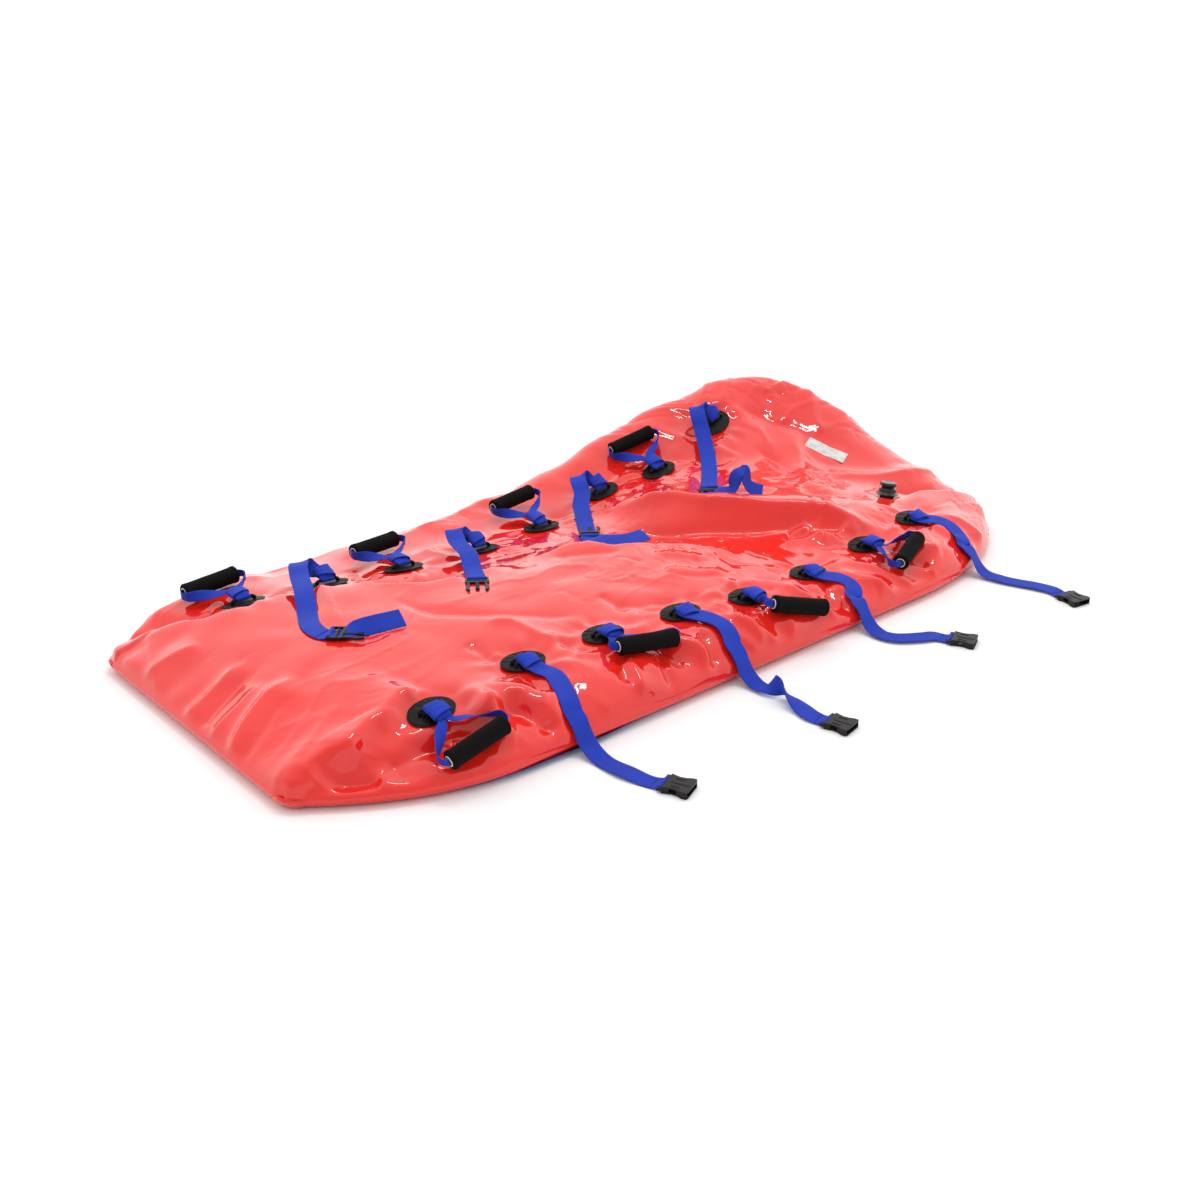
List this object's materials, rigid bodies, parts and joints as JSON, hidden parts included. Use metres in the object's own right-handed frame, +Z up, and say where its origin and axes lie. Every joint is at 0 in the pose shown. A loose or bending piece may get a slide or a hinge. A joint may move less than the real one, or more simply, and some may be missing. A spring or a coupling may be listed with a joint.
{
  "type": "vacuum mattress",
  "caption": "Bead-filled vacuum mattress for moving an injured person: glossy bag, webbing handles with foam grips, side-release straps and an air valve",
  "frame": {"origin": "middle of the flat underside, on the surface the mattress lies on", "axes": "+X towards the head end, +Y towards the long side whose straps lie over the top, +Z up"},
  "size_m": [2, 1.2569, 0.2413],
  "materials": {
    "beads_white": "loose foamed beads",
    "filter_grey": "fine mesh",
    "foam_black": "foam, matte",
    "label_white": "plain film",
    "nylon_grey": "moulded, satin",
    "patch_black": "moulded, satin",
    "pvc_blue": "coated fabric, satin",
    "pvc_red": "coated fabric, glossy",
    "rubber_black": "matte",
    "valve_black": "moulded, glossy",
    "webbing_blue": "woven webbing"
  },
  "bodies": {
    "mattress": {"top_skin": "pvc_red", "bottom_skin": "pvc_blue", "bead_fill": "beads_white", "label": "label_white", "valve_body": "valve_black", "bead_filter": "filter_grey", "far_handle_patch_1": "patch_black", "far_handle_patch_2": "patch_black", "far_handle_patch_3": "patch_black", "far_handle_patch_4": "patch_black", "far_strap_patch_1": "patch_black", "far_strap_patch_2": "patch_black", "far_strap_patch_3": "patch_black", "far_strap_patch_4": "patch_black", "near_handle_patch_1": "patch_black", "near_handle_patch_2": "patch_black", "near_handle_patch_3": "patch_black", "near_handle_patch_4": "patch_black", "near_strap_patch_1": "patch_black", "near_strap_patch_2": "patch_black", "near_strap_patch_3": "patch_black", "near_strap_patch_4": "patch_black"},
    "valve_knob": {"valve_knob": "valve_black", "valve_seal": "rubber_black"},
    "near_handle_1": {"near_handle_webbing_1": "webbing_blue"},
    "near_grip_1": {"near_handle_grip_1": "foam_black"},
    "near_handle_2": {"near_handle_webbing_2": "webbing_blue"},
    "near_grip_2": {"near_handle_grip_2": "foam_black"},
    "near_handle_3": {"near_handle_webbing_3": "webbing_blue"},
    "near_grip_3": {"near_handle_grip_3": "foam_black"},
    "near_handle_4": {"near_handle_webbing_4": "webbing_blue"},
    "near_grip_4": {"near_handle_grip_4": "foam_black"},
    "far_handle_1": {"far_handle_webbing_1": "webbing_blue"},
    "far_grip_1": {"far_handle_grip_1": "foam_black"},
    "far_handle_2": {"far_handle_webbing_2": "webbing_blue"},
    "far_grip_2": {"far_handle_grip_2": "foam_black"},
    "far_handle_3": {"far_handle_webbing_3": "webbing_blue"},
    "far_grip_3": {"far_handle_grip_3": "foam_black"},
    "far_handle_4": {"far_handle_webbing_4": "webbing_blue"},
    "far_grip_4": {"far_handle_grip_4": "foam_black"},
    "near_strap_1": {"near_strap_1": "webbing_blue"},
    "female_buckle_1": {"female_buckle_1": "nylon_grey"},
    "near_strap_2": {"near_strap_2": "webbing_blue"},
    "female_buckle_2": {"female_buckle_2": "nylon_grey"},
    "near_strap_3": {"near_strap_3": "webbing_blue"},
    "female_buckle_3": {"female_buckle_3": "nylon_grey"},
    "near_strap_4": {"near_strap_4": "webbing_blue"},
    "female_buckle_4": {"female_buckle_4": "nylon_grey"},
    "far_strap_1": {"far_strap_1": "webbing_blue"},
    "male_buckle_1": {"male_buckle_1": "nylon_grey"},
    "far_strap_2": {"far_strap_2": "webbing_blue"},
    "male_buckle_2": {"male_buckle_2": "nylon_grey"},
    "far_strap_3": {"far_strap_3": "webbing_blue"},
    "male_buckle_3": {"male_buckle_3": "nylon_grey"},
    "far_strap_4": {"far_strap_4": "webbing_blue"},
    "male_buckle_4": {"male_buckle_4": "nylon_grey"}
  },
  "joints": [
    {"name": "valve_pull", "type": "slide", "parent": "mattress", "child": "valve_knob", "axis": [0.1447, 0.0229, 0.9892], "range_m": [0, 0.006]},
    {"name": "near_handle_1_lift", "type": "hinge", "parent": "mattress", "child": "near_handle_1", "pos_m": [-0.72348, -0.34805, 0.10504], "axis": [-0.9957, 0, -0.0922], "range_deg": [0, 100]},
    {"name": "near_grip_1_turn", "type": "hinge", "parent": "near_handle_1", "child": "near_grip_1", "pos_m": [-0.70948, -0.45605, 0.07674], "axis": [0.9763, 0.017, 0.2158], "continuous": true},
    {"name": "near_handle_2_lift", "type": "hinge", "parent": "mattress", "child": "near_handle_2", "pos_m": [-0.32197, -0.32041, 0.10864], "axis": [-1, 0, 0.0057], "range_deg": [0, 100]},
    {"name": "near_grip_2_turn", "type": "hinge", "parent": "near_handle_2", "child": "near_grip_2", "pos_m": [-0.29397, -0.41041, 0.10662], "axis": [0.9641, -0.2583, -0.0614], "continuous": true},
    {"name": "near_handle_3_lift", "type": "hinge", "parent": "mattress", "child": "near_handle_3", "pos_m": [0.01218, -0.36734, 0.10354], "axis": [-0.9994, 0, 0.0332], "range_deg": [0, 100]},
    {"name": "near_grip_3_turn", "type": "hinge", "parent": "near_handle_3", "child": "near_grip_3", "pos_m": [0.05918, -0.46133, 0.08974], "axis": [0.9153, -0.3331, -0.2266], "continuous": true},
    {"name": "near_handle_4_lift", "type": "hinge", "parent": "mattress", "child": "near_handle_4", "pos_m": [0.40792, -0.33749, 0.09697], "axis": [-0.9999, 0, -0.0159], "range_deg": [0, 100]},
    {"name": "near_grip_4_turn", "type": "hinge", "parent": "near_handle_4", "child": "near_grip_4", "pos_m": [0.43792, -0.42949, 0.09372], "axis": [0.927, 0.3558, 0.1188], "continuous": true},
    {"name": "far_handle_1_lift", "type": "hinge", "parent": "mattress", "child": "far_handle_1", "pos_m": [-0.73904, 0.26614, 0.09582], "axis": [1, 0, 0.0078], "range_deg": [0, 100]},
    {"name": "far_grip_1_turn", "type": "hinge", "parent": "far_handle_1", "child": "far_grip_1", "pos_m": [-0.75304, 0.37414, 0.09539], "axis": [0.9955, 0.0871, 0.0369], "continuous": true},
    {"name": "far_handle_2_lift", "type": "hinge", "parent": "mattress", "child": "far_handle_2", "pos_m": [-0.40269, 0.2128, 0.09303], "axis": [0.9983, 0, -0.0588], "range_deg": [0, 100]},
    {"name": "far_grip_2_turn", "type": "hinge", "parent": "far_handle_2", "child": "far_grip_2", "pos_m": [-0.39469, 0.3328, 0.09348], "axis": [0.984, 0.1735, -0.0404], "continuous": true},
    {"name": "far_handle_3_lift", "type": "hinge", "parent": "mattress", "child": "far_handle_3", "pos_m": [-0.01596, 0.2394, 0.07649], "axis": [1, 0, -0.0068], "range_deg": [0, 100]},
    {"name": "far_grip_3_turn", "type": "hinge", "parent": "far_handle_3", "child": "far_grip_3", "pos_m": [-0.00796, 0.3554, 0.09659], "axis": [0.9923, 0.1043, 0.067], "continuous": true},
    {"name": "far_handle_4_lift", "type": "hinge", "parent": "mattress", "child": "far_handle_4", "pos_m": [0.35202, 0.24954, 0.1232], "axis": [0.9826, 0, 0.1858], "range_deg": [0, 100]},
    {"name": "far_grip_4_turn", "type": "hinge", "parent": "far_handle_4", "child": "far_grip_4", "pos_m": [0.35902, 0.35454, 0.15938], "axis": [0.961, -0.1522, 0.231], "continuous": true},
    {"name": "near_strap_1_lift", "type": "hinge", "parent": "mattress", "child": "near_strap_1", "pos_m": [-0.50392, -0.31448, 0.11028], "axis": [-0.9999, 0, 0.0151], "range_deg": [0, 90]},
    {"name": "female_buckle_1_tilt", "type": "hinge", "parent": "near_strap_1", "child": "female_buckle_1", "pos_m": [-0.48892, -0.661, 0.00665], "axis": [-0.9205, -0.3907, 0], "range_deg": [0, 60]},
    {"name": "near_strap_2_lift", "type": "hinge", "parent": "mattress", "child": "near_strap_2", "pos_m": [-0.14594, -0.34237, 0.10718], "axis": [-0.9999, 0, 0.011], "range_deg": [0, 90]},
    {"name": "female_buckle_2_tilt", "type": "hinge", "parent": "near_strap_2", "child": "female_buckle_2", "pos_m": [-0.12794, -0.698, 0.00665], "axis": [-0.9781, -0.2079, 0], "range_deg": [0, 60]},
    {"name": "near_strap_3_lift", "type": "hinge", "parent": "mattress", "child": "near_strap_3", "pos_m": [0.20027, -0.35822, 0.09737], "axis": [-0.9987, 0, 0.0503], "range_deg": [0, 90]},
    {"name": "female_buckle_3_tilt", "type": "hinge", "parent": "near_strap_3", "child": "female_buckle_3", "pos_m": [0.30927, -0.639, 0.00665], "axis": [-0.9063, -0.4226, 0], "range_deg": [0, 60]},
    {"name": "near_strap_4_lift", "type": "hinge", "parent": "mattress", "child": "near_strap_4", "pos_m": [0.5971, -0.31448, 0.10313], "axis": [-0.9998, 0, 0.018], "range_deg": [0, 90]},
    {"name": "female_buckle_4_tilt", "type": "hinge", "parent": "near_strap_4", "child": "female_buckle_4", "pos_m": [0.66285, -0.66897, 0.00665], "axis": [-0.9848, 0.1736, 0], "range_deg": [0, 60]},
    {"name": "far_strap_1_lift", "type": "hinge", "parent": "mattress", "child": "far_strap_1", "pos_m": [-0.56966, 0.23395, 0.09794], "axis": [-0.9979, 0, 0.0648], "range_deg": [0, 25]},
    {"name": "male_buckle_1_tilt", "type": "hinge", "parent": "far_strap_1", "child": "male_buckle_1", "pos_m": [-0.71972, -0.02804, 0.12064], "axis": [-0.7071, -0.7071, -0.0062], "range_deg": [0, 60]},
    {"name": "far_strap_2_lift", "type": "hinge", "parent": "mattress", "child": "far_strap_2", "pos_m": [-0.21175, 0.20765, 0.08465], "axis": [-0.9989, 0, 0.047], "range_deg": [0, 25]},
    {"name": "male_buckle_2_tilt", "type": "hinge", "parent": "far_strap_2", "child": "male_buckle_2", "pos_m": [-0.35952, 0.01595, 0.11038], "axis": [-0.8191, 0.5736, 0.003], "range_deg": [0, 60]},
    {"name": "far_strap_3_lift", "type": "hinge", "parent": "mattress", "child": "far_strap_3", "pos_m": [0.203, 0.28783, 0.09429], "axis": [-0.982, 0, -0.1891], "range_deg": [0, 25]},
    {"name": "male_buckle_3_tilt", "type": "hinge", "parent": "far_strap_3", "child": "male_buckle_3", "pos_m": [-0.00783, 0.0834, 0.08872], "axis": [0.7541, -0.6555, 0.0416], "range_deg": [0, 60]},
    {"name": "far_strap_4_lift", "type": "hinge", "parent": "mattress", "child": "far_strap_4", "pos_m": [0.57762, 0.28888, 0.18754], "axis": [-0.959, 0, -0.2834], "range_deg": [0, 25]},
    {"name": "male_buckle_4_tilt", "type": "hinge", "parent": "far_strap_4", "child": "male_buckle_4", "pos_m": [0.34231, 0.06909, 0.12119], "axis": [-0.7298, 0.6806, -0.0647], "range_deg": [0, 60]}
  ]
}
